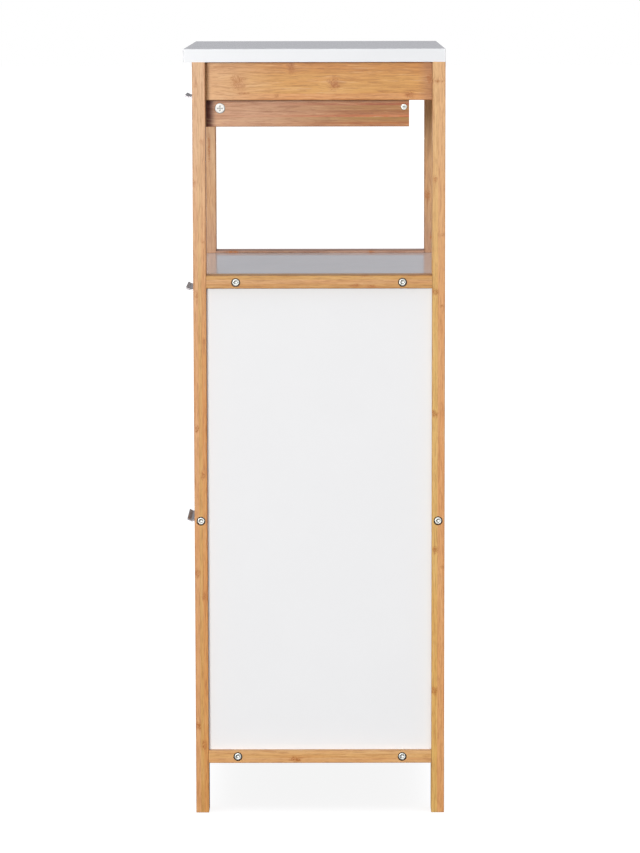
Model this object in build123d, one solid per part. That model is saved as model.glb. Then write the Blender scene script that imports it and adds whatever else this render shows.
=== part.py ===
"""Narrow bamboo bathroom shelf with laundry hampers.

Two glued bamboo side frames carry a white top board, a white shelf and a white floor. Under the top
hangs a drawer on wooden runners, below it is an open shelf, and below that are two hampers. A hamper
is a white front that tilts out about pins at its foot, with a stay board behind each end. Two rods
between the stay boards hold a cloth bag by its tunnel hems, and a hook on each stay board is the stop.

Millimetres. +Z is up, the front faces -Y, and the origin is at the middle of the footprint.
"""

import os
from math import acos, asin, cos, degrees, radians, sin, sqrt

from build123d import *

# Overall size, and the stock that the pieces are cut from
width = 400.0
height = 890.0
frame_depth = 290.0
top_overhang = 10.0  # the top board stands this far over the front
stock_x = 30.0  # legs and rails, across the object
stock = 15.0  # legs and rails, as seen from the side
board = 15.0  # top board, drawer front and hamper fronts
shelf_board = 12.0
thin_panel = 5.0  # side and back panels
edge_ease = 0.8
top_corner_round = 1.5
groove = 3.5  # depth of the legs' and rails' grooves for the thin panels
shelf_groove = 3.0
crossbar_groove = 2.0
groove_play = 0.15
swing_gap = 1.5  # between a moving front and the legs beside it

# Heights of the middles of the rails and crossbars
mid_rail_z = 623.0
crossbar_z = 345.0
bottom_rail_z = 66.5
top_rail_height = 44.0
mid_shelf_drop = 3.0  # the mid shelf lies this far below its rails' top faces
side_panel_recess = 7.0

# The pull: a profile with a flange on the front, a flat floor and an upturned lip
pull_reach = 15.0
pull_length = 80.0
pull_hole_spacing = 64.0
pull_sheet = 1.5
pull_flange = (3.6, 10.0)  # thick, and high above the trough's floor
pull_lip = 2.0  # from the trough's floor up to the lip
pull_lip_run = 4.5  # the lip's slope, from front to back
pull_bend = 2.4
pull_screw_rise = 4.0  # screws above the trough's floor
pull_below_top = 11.0  # from a hamper front's top edge down to the lip

# Places that follow from these
front = pull_reach - (frame_depth + pull_reach) / 2
back = front + frame_depth
middle_y = (front + back) / 2
outer_x = width / 2
inner_x = outer_x - stock_x
leg_height = height - board
half = stock / 2
rail_front = front + stock
rail_back = back - stock
board_back = front + board  # back face of the drawer front and the hamper fronts
half_front = inner_x - swing_gap  # half the width of those fronts

# Frame bolts, barrel nuts and dowels
bolt_spacing = 192.0
mid_bolt_z = mid_rail_z - 0.5
bolt_shank = 6.0
bolt_head = (8.8, 4.0)  # diameter and height
bolt_rim = 0.5  # the bevel round the head's face
bolt_length = 56.0
counterbore = 10.4
head_sink = 0.6
hex_key = (4.0, 2.4)  # across flats, and deep
nut_diameter = 10.0
nut_length = 11.0
nut_inset = 20.0  # from the board's end to the barrel nut
dowel = 6.0
dowel_length = 24.0
dowel_pitch = 14.0
dowel_in_top = 9.0

# Cam fittings
cam_diameter = 12.0
cam_depth = 9.0
cam_slot = (6.0, 1.4, 1.5)  # the cross recess: long, wide and deep
cam_bolt_shank = 5.0
cam_bolt_thread = 6.0
cam_bolt_bite = 10.0  # length screwed into the board that is held
cam_bolt_in_cam = 2.5
top_cam_drop = 15.0
top_cam_inset = 60.0

# Drawer
drawer_side = 12.0
drawer_bottom = 3.0
drawer_bottom_rise = 5.0  # above the sides' lower edges
drawer_front_z = (800.0, leg_height - 3.0)
drawer_side_z = (800.0, 870.0)
drawer_back_top = 866.0
drawer_depth = 249.0  # from the front plane to the back of the box
drawer_pull_z = 832.0
drawer_cam_z = (821.2, 860.0)
drawer_screw_z = (822.5, 858.0)
drawer_screw_length = 34.0
runner_z = (838.0, 849.0)
runner_reach = 8.0
runner_play = 0.4
runner_ease = 0.5
runner_screw_y = (front + 50.0, middle_y, back - 60.0)
runner_screw_length = 18.0

# Hamper fronts and their pivots
hamper_front_height = 260.0
pivot_rise = 8.0  # pivot above the front's lower edge
foot_round = 5.0  # lets the front's lower edge turn above the board under it
pin_diameter = 5.0
pin_in_leg = 14.0
pin_in_front = 11.0
bush = (9.0, 12.0)  # diameter and length
bush_flange = (12.0, 1.0)
running_play = 0.05

# Stay boards, as a side view from the pivot: backwards, then up
stay_board = 10.0
stay_outer_x = 162.0
stay_rim = 232.0  # radius of the rim about the pivot
stay_end_angle = 32.0  # the rim ends this far above level
stay_tail = 34.0  # width of the tail below the rim
stay_tail_round = 7.0
stay_hollow = (86.0, 92.0)  # the hollowed underside passes through this point
stay_foot = 22.0
stay_cam_rise = (60.0, 190.0)
cam_inset = 16.0  # from the front's back face to a cam
hook_radius = 260.0
hook_root = 212.0
hook_round = 6.0
upper_tilt = 32.3  # the hook meets the shelf when the front is tilted out this far, in degrees
lower_tilt = 36.3  # the hook meets the front crossbar

# Bags and the rods that hold them, in the same side view
rod_diameter = 8.0
front_rod = (18.5, 217.0)
rear_rod = (186.0, 138.0)
bag_cloth = 2.5
bag_half_width = 148.0
bag_floor = 6.0
hem_outer = 13.0
hem_to_wall = 5.25  # from a rod's axis to the bag wall's outer face

# Magnetic catches
catch_half_width = 20.0
catch_ear = 10.0
catch_ear_sheet = 2.5
catch_height = 14.0
catch_depth = 14.5
catch_front = board_back + 1.5
catch_joint = 2.0  # the lower catch's body stands this far up its plate
strike = (30.0, 1.0, 10.0)  # wide, thick and high
strike_below_top = 1.0

# Screws: head, shank and length
catch_screw = (5.5, 3.0, 11.0)
runner_screw = (6.0, 3.0, runner_screw_length)
drawer_screw = (7.6, 3.6, drawer_screw_length)
strike_screw = (5.0, 2.6, 10.0)
pull_screw = (4.0, 8.0, 2.4)  # shank, head and head height
pull_screw_bite = 2.6
screw_slot = (0.5, 0.9, 1.0)  # the cross recess: long as a share of the head, wide and deep

to_left, to_right = (-1, 0, 0), (1, 0, 0)
to_front, to_back = (0, -1, 0), (0, 1, 0)
up, down = (0, 0, 1), (0, 0, -1)


def block(x, y, z):
    """A box between low and high corners; each argument is a (low, high) pair."""
    spans = (x, y, z)
    middle = [(low + high) / 2 for low, high in spans]
    return Pos(*middle) * Box(*[high - low for low, high in spans])


def eased(shape, axis, radius=edge_ease):
    """The shape with its edges along one axis rounded a little, as planed timber is."""
    return fillet(shape.edges().filter_by(axis), radius)


def peg(start, direction, diameter, length):
    """A cylinder that starts at a point and runs along a direction."""
    plane = Plane(origin=start, z_dir=direction)
    return plane * Cylinder(diameter / 2, length, align=(Align.CENTER, Align.CENTER, Align.MIN))


def less(shape, tools):
    """The shape with every tool cut away."""
    for tool in tools:
        shape = shape - tool
    return shape


def cross_recess(face, direction, long, wide, deep):
    """Two crossing slots, as cutting tools; direction points into the head."""
    plane = Plane(origin=face, z_dir=direction)
    arm = Box(long, wide, 2 * deep)
    return [plane * arm, plane * Rot(0, 0, 90) * arm]


def screw_recess(face, direction, head):
    """The recess of a screw whose head has the given diameter."""
    share, wide, deep = screw_slot
    return cross_recess(face, direction, share * head, wide, deep)


def countersunk_screw(start, direction, sizes, recessed=False):
    """A cone that narrows from the head's face, and a plain shank. Holes are cut with the plain shape."""
    head, shank, length = sizes
    low = (Align.CENTER, Align.CENTER, Align.MIN)
    cone = Cone(head / 2, shank / 2, (head - shank) / 2, align=low)
    screw = Plane(origin=start, z_dir=direction) * (cone + Cylinder(shank / 2, length, align=low))
    return less(screw, screw_recess(start, direction, head)) if recessed else screw


def mirrored(shape):
    """The same piece on the left."""
    return mirror(shape, about=Plane.YZ)


def both_sides(shapes):
    """The right-hand shapes and their mirror images."""
    return list(shapes) + [mirrored(shape) for shape in shapes]


def cam_bolt(board_face, cam_distance, direction):
    """The bolt that a cam pulls: threaded into one board, with its end inside the cam in the other."""
    reach = cam_distance - cam_diameter / 2 + cam_bolt_in_cam
    inward = tuple(-value for value in direction)
    thread = peg(board_face, inward, cam_bolt_thread, cam_bolt_bite)
    return thread + peg(board_face, direction, cam_bolt_shank, reach)


def cam_lock(centre, direction, bolt, depth=cam_depth):
    """A round cam let into a face, with a cross recess; direction points into the board."""
    cross = cross_recess(centre, direction, *cam_slot)
    return less(peg(centre, direction, cam_diameter, depth), [*cross, bolt])


# Spans of the panels and shelves that the frame holds
side_panel_x = (outer_x - side_panel_recess - thin_panel, outer_x - side_panel_recess)
side_panel_z = (bottom_rail_z + half - groove, mid_rail_z - half + groove)
back_panel_y = (back - (stock + thin_panel) / 2, back - (stock - thin_panel) / 2)
mid_shelf_top = mid_rail_z + half - mid_shelf_drop
mid_shelf_z = (mid_shelf_top - shelf_board, mid_shelf_top)
bottom_shelf_z = (bottom_rail_z - shelf_board / 2, bottom_rail_z + shelf_board / 2)
upper_opening = (crossbar_z + half, mid_shelf_z[0])
lower_opening = (bottom_shelf_z[1], crossbar_z - half)
upper_back_z = (upper_opening[0] - crossbar_groove, upper_opening[1] + shelf_groove)
lower_back_z = (lower_opening[0] - shelf_groove, lower_opening[1] + crossbar_groove)

# Each hamper front stands in the middle of its opening
pivot_y = front + half
upper_front_z = (sum(upper_opening) - hamper_front_height) / 2
lower_front_z = (sum(lower_opening) - hamper_front_height) / 2

# Bolts: two through each lower rail into a shelf's edge, and one through each leg into a crossbar
shelf_bolt_y = (middle_y - bolt_spacing / 2, middle_y + bolt_spacing / 2)
mid_bolts = [(y, mid_bolt_z) for y in shelf_bolt_y]
floor_bolts = [(y, bottom_rail_z) for y in shelf_bolt_y]
crossbar_bolts = [(front + half, crossbar_z), (back - half, crossbar_z)]
all_bolts = mid_bolts + floor_bolts + crossbar_bolts


def panel_grooves():
    """The air that the side panel and the two back panels stand in, as cutting tools."""
    side = block(
        (side_panel_x[0] - groove_play, side_panel_x[1] + groove_play),
        (rail_front - groove, rail_back + groove),
        side_panel_z,
    )
    y_span = (back_panel_y[0] - groove_play, back_panel_y[1] + groove_play)
    x_span = (-inner_x - groove, inner_x + groove)
    return [side] + [block(x_span, y_span, z_span) for z_span in (upper_back_z, lower_back_z)]


def frame_dowels():
    """Dowels that join the right side frame's rails to its legs."""
    rail_x = outer_x - stock_x / 2
    spots = []
    for z in (mid_rail_z, bottom_rail_z):
        spots += [(rail_x - dowel_pitch / 2, z), (rail_x + dowel_pitch / 2, z)]
    top_rail_middle = leg_height - top_rail_height / 2
    for z in (top_rail_middle - dowel_pitch, top_rail_middle + dowel_pitch / 2):
        spots.append((inner_x + half, z))
    starts = (rail_front - dowel_length / 2, rail_back - dowel_length / 2)
    return [peg((x, y, z), to_back, dowel, dowel_length) for x, z in spots for y in starts]


def top_dowels():
    """Dowels between the right legs' tops and the top board."""
    start = leg_height + dowel_in_top - dowel_length
    spots = (front + half, back - half)
    return [peg((outer_x - stock_x / 2, y, start), up, dowel, dowel_length) for y in spots]


def frame_bolt(y, z):
    """A bolt from the right, with a bevelled head that has a hexagonal socket."""
    start = (outer_x - head_sink, y, z)
    under_rim = (start[0] - bolt_rim, y, z)
    diameter, head_height = bolt_head
    plane = Plane(origin=start, z_dir=to_left)
    low = (Align.CENTER, Align.CENTER, Align.MIN)
    rim = Cone(diameter / 2 - bolt_rim, diameter / 2, bolt_rim, align=low)
    head = plane * rim + peg(under_rim, to_left, diameter, head_height - bolt_rim)
    socket = extrude(plane * RegularPolygon(hex_key[0] / 2, 6, major_radius=False), hex_key[1])
    return head + peg(under_rim, to_left, bolt_shank, bolt_length - bolt_rim) - socket


def bolt_hole(y, z):
    start = (outer_x, y, z)
    seat = peg(start, to_left, counterbore, head_sink + bolt_head[1])
    return seat + peg(start, to_left, bolt_shank, head_sink + bolt_length)


def barrel_nut(y, z, direction, depth):
    """A cross nut on a bolt's line; it goes in from the face that lies depth before that line."""
    start = Vector(inner_x - nut_inset, y, z) - Vector(*direction) * depth
    return peg(tuple(start), direction, nut_diameter, nut_length)


def shelf_nuts():
    """Nuts on the right, let in from below."""
    upper = [barrel_nut(y, z, up, z - mid_shelf_z[0]) for y, z in mid_bolts]
    return upper + [barrel_nut(y, z, up, z - bottom_shelf_z[0]) for y, z in floor_bolts]


def crossbar_nuts():
    """Nuts on the right, let in from inside the cabinet."""
    (front_y, z), (back_y, _) = crossbar_bolts
    return [barrel_nut(front_y, z, to_front, half), barrel_nut(back_y, z, to_back, half)]


def barrel_nuts():
    cores = [peg((outer_x, y, z), to_left, bolt_shank, stock_x + 2 * nut_inset) for y, z in all_bolts]
    return [less(nut, cores) for nut in shelf_nuts() + crossbar_nuts()]


def hinge_pins():
    """Steel pins in the right front leg, one for each hamper."""
    length = pin_in_leg + swing_gap + pin_in_front
    heights = (lower_front_z + pivot_rise, upper_front_z + pivot_rise)
    return [peg((inner_x + pin_in_leg, pivot_y, z), to_left, pin_diameter, length) for z in heights]


def top_cam_places():
    """Centres, on the right top rail's inner face, of the cams that hold the top board."""
    z = leg_height - top_cam_drop
    return [(inner_x, y, z) for y in (front + top_cam_inset, back - top_cam_inset)]


def top_cam_bolts():
    x = inner_x + cam_depth / 2
    return [cam_bolt((x, y, leg_height), top_cam_drop, down) for _, y, _ in top_cam_places()]


def top_cam_locks():
    return [cam_lock(spot, to_right, bolt) for spot, bolt in zip(top_cam_places(), top_cam_bolts())]


def runner_screws(recessed=False):
    """Screws that hold the right drawer runner to the top rail."""
    x, z = inner_x - runner_reach, sum(runner_z) / 2
    return [countersunk_screw((x, y, z), to_right, runner_screw, recessed) for y in runner_screw_y]


def legs():
    """The right front and rear legs."""
    holes = [bolt_hole(y, z) for y, z in crossbar_bolts]
    tools = panel_grooves() + frame_dowels() + top_dowels() + holes + hinge_pins()
    made = {}
    for name, y in (("front_leg", front), ("rear_leg", rail_back)):
        blank = block((inner_x, outer_x), (y, y + stock), (0, leg_height))
        made[name] = less(eased(blank, Axis.Z), tools)
    return made


def lower_rails():
    """The right rails at the mid shelf and at the floor."""
    tools = panel_grooves() + frame_dowels() + [bolt_hole(y, z) for y, z in mid_bolts + floor_bolts]
    made = {}
    for name, z in (("mid_rail", mid_rail_z), ("bottom_rail", bottom_rail_z)):
        blank = block((inner_x, outer_x), (rail_front, rail_back), (z - half, z + half))
        made[name] = less(eased(blank, Axis.Y), tools)
    return made


def top_rail():
    """The deep right rail under the top board, thinner than the legs and flush with their inner faces."""
    z_span = (leg_height - top_rail_height, leg_height)
    blank = eased(block((inner_x, inner_x + stock), (rail_front, rail_back), z_span), Axis.Y)
    pockets = [peg(spot, to_right, cam_diameter, cam_depth) for spot in top_cam_places()]
    return less(blank, frame_dowels() + pockets + top_cam_bolts() + runner_screws())


def side_panel():
    return block(
        side_panel_x,
        (rail_front - groove + groove_play, rail_back + groove - groove_play),
        (side_panel_z[0] + groove_play, side_panel_z[1] - groove_play),
    )


def top_board():
    blank = block((-outer_x, outer_x), (front - top_overhang, back), (leg_height, height))
    blank = eased(blank, Axis.Z, top_corner_round)
    blank = fillet(blank.faces().sort_by(Axis.Z)[-1].edges(), edge_ease)
    return less(blank, both_sides(top_dowels() + top_cam_bolts()))


def shelf(z_span):
    """The mid shelf or the floor: a white board between the side frames, flush with the legs."""
    blank = eased(block((-inner_x, inner_x), (front, back), z_span), Axis.X)
    holes = [bolt_hole(y, z) for y, z in mid_bolts + floor_bolts]
    return less(blank, both_sides(holes + shelf_nuts()) + panel_grooves() + catch_screws())


def crossbar(y):
    """A bamboo bar between the legs, at the front or at the back."""
    blank = block((-inner_x, inner_x), (y, y + stock), (crossbar_z - half, crossbar_z + half))
    holes = [bolt_hole(y, z) for y, z in crossbar_bolts]
    return less(eased(blank, Axis.X), both_sides(holes + crossbar_nuts()) + panel_grooves() + catch_screws())


def back_panel(z_span):
    reach = inner_x + groove - groove_play
    return block((-reach, reach), back_panel_y, (z_span[0] + groove_play, z_span[1] - groove_play))


def drawer_runner():
    """A hardwood strip on the right top rail's inner face, in the drawer side's groove."""
    blank = block((inner_x - runner_reach, inner_x), (rail_front + runner_play, rail_back - stock), runner_z)
    return less(eased(blank, Axis.Y, runner_ease), runner_screws())


def upper_catch():
    """The catch under the mid shelf."""
    top = mid_shelf_z[0]
    body_y = (catch_front, catch_front + catch_depth)
    ear_reach = catch_half_width + catch_ear
    body = block((-catch_half_width, catch_half_width), body_y, (top - catch_height, top))
    ears = block((-ear_reach, ear_reach), (body_y[0] + 2, body_y[1] - 2), (top - catch_ear_sheet, top))
    return less(body + ears, catch_screws())


def lower_catch():
    """The catch behind the front crossbar."""
    under = crossbar_z - half
    body_y = (catch_front, catch_front + catch_depth)
    plate_y = (rail_front, rail_front + catch_ear_sheet)
    ear_reach = catch_half_width + catch_ear
    body = block((-catch_half_width, catch_half_width), body_y, (under - catch_height, under + catch_joint))
    plate = block((-ear_reach, ear_reach), plate_y, (under + catch_joint / 2, crossbar_z + half - 1))
    return less(body + plate, catch_screws())


def catch_screws(recessed=False):
    """Four screws: two up into the mid shelf, two forward into the front crossbar."""
    found = []
    for x in (-catch_half_width - catch_ear / 2, catch_half_width + catch_ear / 2):
        above = (x, catch_front + catch_depth / 2, mid_shelf_z[0] - catch_ear_sheet)
        ahead = (x, rail_front + catch_ear_sheet, crossbar_z)
        found.append(countersunk_screw(above, up, catch_screw, recessed))
        found.append(countersunk_screw(ahead, to_front, catch_screw, recessed))
    return found


def pull(lip_z):
    """A flange on the front board, a flat floor that stands out from it, and an upturned lip."""
    floor = lip_z - pull_lip
    skin = pull_sheet / 2
    half_length = pull_length / 2
    with BuildPart() as profile:
        with BuildSketch(Plane.YZ.offset(-half_length)):
            with BuildLine():
                centre_line = FilletPolyline(
                    (front - skin, floor + pull_flange[1] - skin),
                    (front - skin, floor - skin),
                    (front - pull_reach + pull_lip_run, floor - skin),
                    (front - pull_reach + skin, lip_z - skin),
                    radius=pull_bend,
                )
                offset(centre_line, amount=skin, side=Side.BOTH)
            make_face()
        extrude(amount=pull_length)
    flange_z = (floor - skin, floor + pull_flange[1] - skin)
    flange = block((-half_length, half_length), (front - pull_flange[0], front), flange_z)
    return less(profile.part + flange, pull_screws(lip_z))


def pull_screws(lip_z):
    """Two screws from behind the front board into the pull's flange."""
    shank, head, head_height = pull_screw
    z = lip_z - pull_lip + pull_screw_rise
    found = []
    for x in (-pull_hole_spacing / 2, pull_hole_spacing / 2):
        start = (x, board_back, z)
        screw = peg(start, to_front, shank, board + pull_screw_bite)
        screw = screw + peg(start, to_back, head, head_height)
        found.append(less(screw, screw_recess((x, board_back + head_height, z), to_front, head)))
    return found


def front_board(z_span):
    """The white board of the drawer or of a hamper."""
    return eased(block((-half_front, half_front), (front, board_back), z_span), Axis.Z)


def drawer_cam_places():
    return [(half_front, board_back + cam_inset, z) for z in drawer_cam_z]


def drawer_cam_bolts():
    x = half_front - cam_depth / 2
    return [cam_bolt((x, board_back, z), cam_inset, to_back) for z in drawer_cam_z]


def drawer_screws(recessed=False):
    """Screws through the right drawer side into the drawer's back."""
    y = front + drawer_depth - drawer_side / 2
    return [countersunk_screw((half_front, y, z), to_left, drawer_screw, recessed) for z in drawer_screw_z]


def drawer_pieces():
    side_inner = half_front - drawer_side
    box_back = front + drawer_depth
    past_back = box_back + 1
    bottom_low = drawer_side_z[0] + drawer_bottom_rise
    bottom_z = (bottom_low, bottom_low + drawer_bottom)
    bottom_slot = block(
        (-side_inner - groove, side_inner + groove),
        (board_back - groove, past_back),
        (bottom_z[0] - groove_play, bottom_z[1] + groove_play),
    )
    runner_slot = block(
        (inner_x - runner_reach - runner_play, inner_x),
        (board_back, past_back),
        (runner_z[0] - 2 * runner_play, runner_z[1] + runner_play),
    )
    pockets = [peg(spot, to_left, cam_diameter, cam_depth) for spot in drawer_cam_places()]
    side = eased(block((side_inner, half_front), (board_back, box_back), drawer_side_z), Axis.Y)
    side = less(side, [bottom_slot, runner_slot, *pockets, *drawer_cam_bolts(), *drawer_screws()])
    cut_in_front = [bottom_slot, *both_sides(drawer_cam_bolts()), *pull_screws(drawer_pull_z)]
    back_blank = block(
        (-side_inner, side_inner), (box_back - drawer_side, box_back), (bottom_z[1], drawer_back_top)
    )
    bottom_reach = side_inner + groove - groove_play
    bottom_y = (board_back - groove + groove_play, box_back - groove_play)
    cams = [cam_lock(spot, to_left, bolt) for spot, bolt in zip(drawer_cam_places(), drawer_cam_bolts())]
    return {
        "drawer_front": less(front_board(drawer_front_z), cut_in_front),
        "drawer_right_side": side,
        "drawer_left_side": mirrored(side),
        "drawer_back": less(eased(back_blank, Axis.X), both_sides(drawer_screws())),
        "drawer_bottom": block((-bottom_reach, bottom_reach), bottom_y, bottom_z),
        "drawer_pull": pull(drawer_pull_z),
        "drawer_cam_locks": both_sides(cams),
        "drawer_cam_bolts": both_sides(drawer_cam_bolts()),
        "drawer_screws": both_sides(drawer_screws(recessed=True)) + pull_screws(drawer_pull_z),
    }


def hook_angles():
    """Where the hooks of the closed upper and lower hampers stand, in degrees above level."""
    ceiling = upper_opening[1] - upper_front_z - pivot_rise
    under_shelf = degrees(asin((ceiling - hook_round) / hook_radius))
    behind_crossbar = degrees(acos((half + hook_round) / hook_radius))
    return under_shelf - upper_tilt, behind_crossbar - lower_tilt


def polar(radius, angle):
    """A point of the hamper's side view, from the pivot: backwards, then up."""
    return radius * cos(radians(angle)), radius * sin(radians(angle))


def side_view(x, pivot_z):
    """The plane, at a place across the object, in which a hamper's side view is drawn."""
    return Plane(origin=(x, pivot_y, pivot_z), x_dir=to_back, z_dir=to_right)


def stay_outline(hook_angle):
    """A quadrant about the pivot with a hollowed underside, and a hook that stands out of its rim."""
    rim_start = (half, sqrt(stay_rim**2 - half**2))
    rim_end = polar(stay_rim, stay_end_angle)
    tail = polar(stay_rim - stay_tail, stay_end_angle)
    foot = (half, stay_foot)
    with BuildSketch() as quadrant:
        with BuildLine():
            ThreePointArc(rim_start, polar(stay_rim, 60), rim_end)
            Line(rim_end, tail)
            ThreePointArc(tail, stay_hollow, foot)
            Line(foot, rim_start)
        make_face()
        fillet(quadrant.vertices().sort_by(Axis.X)[-2:], stay_tail_round)
    hook = SlotCenterToCenter(hook_radius - hook_root, 2 * hook_round)
    middle = polar((hook_radius + hook_root) / 2, hook_angle)
    return quadrant.sketch + Pos(*middle) * Rot(0, 0, hook_angle) * hook


def hamper_rods(pivot_z):
    """The front and rear rods, from stay board to stay board."""
    rods = []
    for behind, above in (front_rod, rear_rod):
        start = (-stay_outer_x, pivot_y + behind, pivot_z + above)
        rods.append(peg(start, to_right, rod_diameter, 2 * stay_outer_x))
    return rods


def hem(pivot_z, diameter, half_width):
    """Cylinders round both rods."""
    places = [(pivot_y + behind, pivot_z + above) for behind, above in (front_rod, rear_rod)]
    return [peg((-half_width, y, z), to_right, diameter, 2 * half_width) for y, z in places]


def hamper_bag(pivot_z):
    """A cloth bag, open above, with a tunnel hem round each rod."""
    (front_y, front_z), (rear_y, rear_z) = front_rod, rear_rod
    outer_y = (front_y - hem_to_wall, rear_y + hem_to_wall)
    inner_y = (outer_y[0] + bag_cloth, outer_y[1] - bag_cloth)
    outside = Polyline(
        (outer_y[0], bag_floor),
        (outer_y[0], front_z),
        (front_y, front_z),
        (rear_y, rear_z),
        (outer_y[1], rear_z),
        (outer_y[1], bag_floor),
        close=True,
    )
    inside = Polyline(
        (inner_y[0], bag_floor + bag_cloth),
        (inner_y[0], 2 * front_z),
        (inner_y[1], 2 * front_z),
        (inner_y[1], bag_floor + bag_cloth),
        close=True,
    )
    plane = side_view(0, pivot_z)
    shell = extrude(plane * make_face(outside), bag_half_width, both=True)
    shell = shell - extrude(plane * make_face(inside), bag_half_width - bag_cloth, both=True)
    for tunnel in hem(pivot_z, hem_outer, bag_half_width):
        shell = shell + tunnel
    return less(shell, hem(pivot_z, rod_diameter + 2 * running_play, bag_half_width + 1))


def bushes(pivot_z):
    """A flanged bush in each end of a hamper's front, with running clearance round the pin."""
    start = (half_front, pivot_y, pivot_z)
    diameter, length = bush
    body = peg(start, to_left, diameter, length) + peg(start, to_right, *bush_flange)
    bore = peg((inner_x, pivot_y, pivot_z), to_left, pin_diameter + 2 * running_play, 2 * length)
    return both_sides([body - bore])


def hamper_pieces(prefix, base_z, hook_angle):
    """Everything that tilts with one hamper's front."""
    pivot_z = base_z + pivot_rise
    top = base_z + hamper_front_height
    lip_z = top - pull_below_top
    bolt_x = stay_outer_x - stay_board / 2
    cam_depth_here = stay_board - 1
    cam_bolts = [cam_bolt((bolt_x, board_back, pivot_z + z), cam_inset, to_back) for z in stay_cam_rise]
    places = [(stay_outer_x, board_back + cam_inset, pivot_z + z) for z in stay_cam_rise]
    pockets = [peg(spot, to_left, cam_diameter, cam_depth_here) for spot in places]
    cams = [cam_lock(spot, to_left, bolt, cam_depth_here) for spot, bolt in zip(places, cam_bolts)]

    blank = extrude(side_view(stay_outer_x - stay_board, pivot_z) * stay_outline(hook_angle), stay_board)
    stay = less(blank, pockets + cam_bolts + hamper_rods(pivot_z))

    strike_back = board_back + strike[1]
    strike_top = top - strike_below_top
    strike_z = (strike_top - strike[2], strike_top)
    plate = block((-strike[0] / 2, strike[0] / 2), (board_back, strike_back), strike_z)
    screw_place = ((0, strike_back, sum(strike_z) / 2), to_front, strike_screw)
    plate_screw = countersunk_screw(*screw_place)

    face = front_board((base_z, top))
    face = fillet(face.edges().filter_by(Axis.X).group_by(Axis.Z)[0], foot_round)
    bush_hole = peg((half_front, pivot_y, pivot_z), to_left, *bush)
    face = less(face, both_sides([bush_hole, *cam_bolts]) + pull_screws(lip_z) + [plate_screw])
    return {
        f"{prefix}_front": face,
        f"{prefix}_pull": pull(lip_z),
        f"{prefix}_right_stay": stay,
        f"{prefix}_left_stay": mirrored(stay),
        f"{prefix}_rods": hamper_rods(pivot_z),
        f"{prefix}_bag": hamper_bag(pivot_z),
        f"{prefix}_bushes": bushes(pivot_z),
        f"{prefix}_cam_locks": both_sides(cams),
        f"{prefix}_cam_bolts": both_sides(cam_bolts),
        f"{prefix}_strike_plate": plate - plate_screw,
        f"{prefix}_screws": pull_screws(lip_z) + [countersunk_screw(*screw_place, recessed=True)],
    }


def cabinet_pieces():
    """Everything that stands still."""
    one_side = {**legs(), **lower_rails(), "top_rail": top_rail(), "side_panel": side_panel()}
    one_side["drawer_runner"] = drawer_runner()
    pieces = {}
    for name, shape in one_side.items():
        pieces[f"right_{name}"] = shape
        pieces[f"left_{name}"] = mirrored(shape)
    pieces["top_board"] = top_board()
    pieces["mid_shelf"] = shelf(mid_shelf_z)
    pieces["bottom_shelf"] = shelf(bottom_shelf_z)
    pieces["front_crossbar"] = crossbar(front)
    pieces["rear_crossbar"] = crossbar(rail_back)
    pieces["upper_back_panel"] = back_panel(upper_back_z)
    pieces["lower_back_panel"] = back_panel(lower_back_z)
    pieces["frame_bolts"] = both_sides([frame_bolt(y, z) for y, z in all_bolts])
    pieces["barrel_nuts"] = both_sides(barrel_nuts())
    pieces["wood_dowels"] = both_sides(frame_dowels() + top_dowels())
    pieces["top_cam_locks"] = both_sides(top_cam_locks())
    pieces["top_cam_bolts"] = both_sides(top_cam_bolts())
    pieces["hinge_pins"] = both_sides(hinge_pins())
    pieces["magnetic_catches"] = [upper_catch(), lower_catch()]
    pieces["cabinet_screws"] = both_sides(runner_screws(recessed=True)) + catch_screws(recessed=True)
    return pieces


def all_pieces():
    upper_hook, lower_hook = hook_angles()
    return {
        **cabinet_pieces(),
        **drawer_pieces(),
        **hamper_pieces("upper_hamper", upper_front_z, upper_hook),
        **hamper_pieces("lower_hamper", lower_front_z, lower_hook),
    }


os.makedirs("parts", exist_ok=True)
for node, shape in all_pieces().items():
    shapes = shape if isinstance(shape, list) else [shape]
    solids = [solid for piece in shapes for solid in piece.solids()]
    export_step(solids[0] if len(solids) == 1 else Compound(children=solids), f"parts/{node}.step")
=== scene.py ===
import math
import random

import bmesh
import bpy
import mathutils
from mathutils import Matrix, Vector


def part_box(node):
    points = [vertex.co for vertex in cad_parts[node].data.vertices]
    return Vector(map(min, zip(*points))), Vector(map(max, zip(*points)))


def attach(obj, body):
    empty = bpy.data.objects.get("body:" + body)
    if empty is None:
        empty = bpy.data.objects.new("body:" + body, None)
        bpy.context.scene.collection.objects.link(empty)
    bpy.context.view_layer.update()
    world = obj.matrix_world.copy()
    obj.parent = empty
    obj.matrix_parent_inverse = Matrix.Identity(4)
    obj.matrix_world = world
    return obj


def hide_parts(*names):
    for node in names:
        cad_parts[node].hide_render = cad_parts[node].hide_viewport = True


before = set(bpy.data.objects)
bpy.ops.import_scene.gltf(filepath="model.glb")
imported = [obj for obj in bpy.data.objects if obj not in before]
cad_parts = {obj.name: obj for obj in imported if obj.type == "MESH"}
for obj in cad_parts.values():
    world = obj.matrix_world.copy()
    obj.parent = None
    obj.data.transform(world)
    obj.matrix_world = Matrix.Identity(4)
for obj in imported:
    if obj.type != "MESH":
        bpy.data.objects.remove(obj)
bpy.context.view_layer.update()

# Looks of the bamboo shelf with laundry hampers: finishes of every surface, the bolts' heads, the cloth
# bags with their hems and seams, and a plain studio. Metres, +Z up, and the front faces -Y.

# Light that a surface facing the camera gets, as a share of what would show a white surface as white
studio_gain = 1.02

mm = 0.001
x_axis, y_axis, z_axis = 0, 1, 2
hampers = ("upper_hamper", "lower_hamper")


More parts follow.
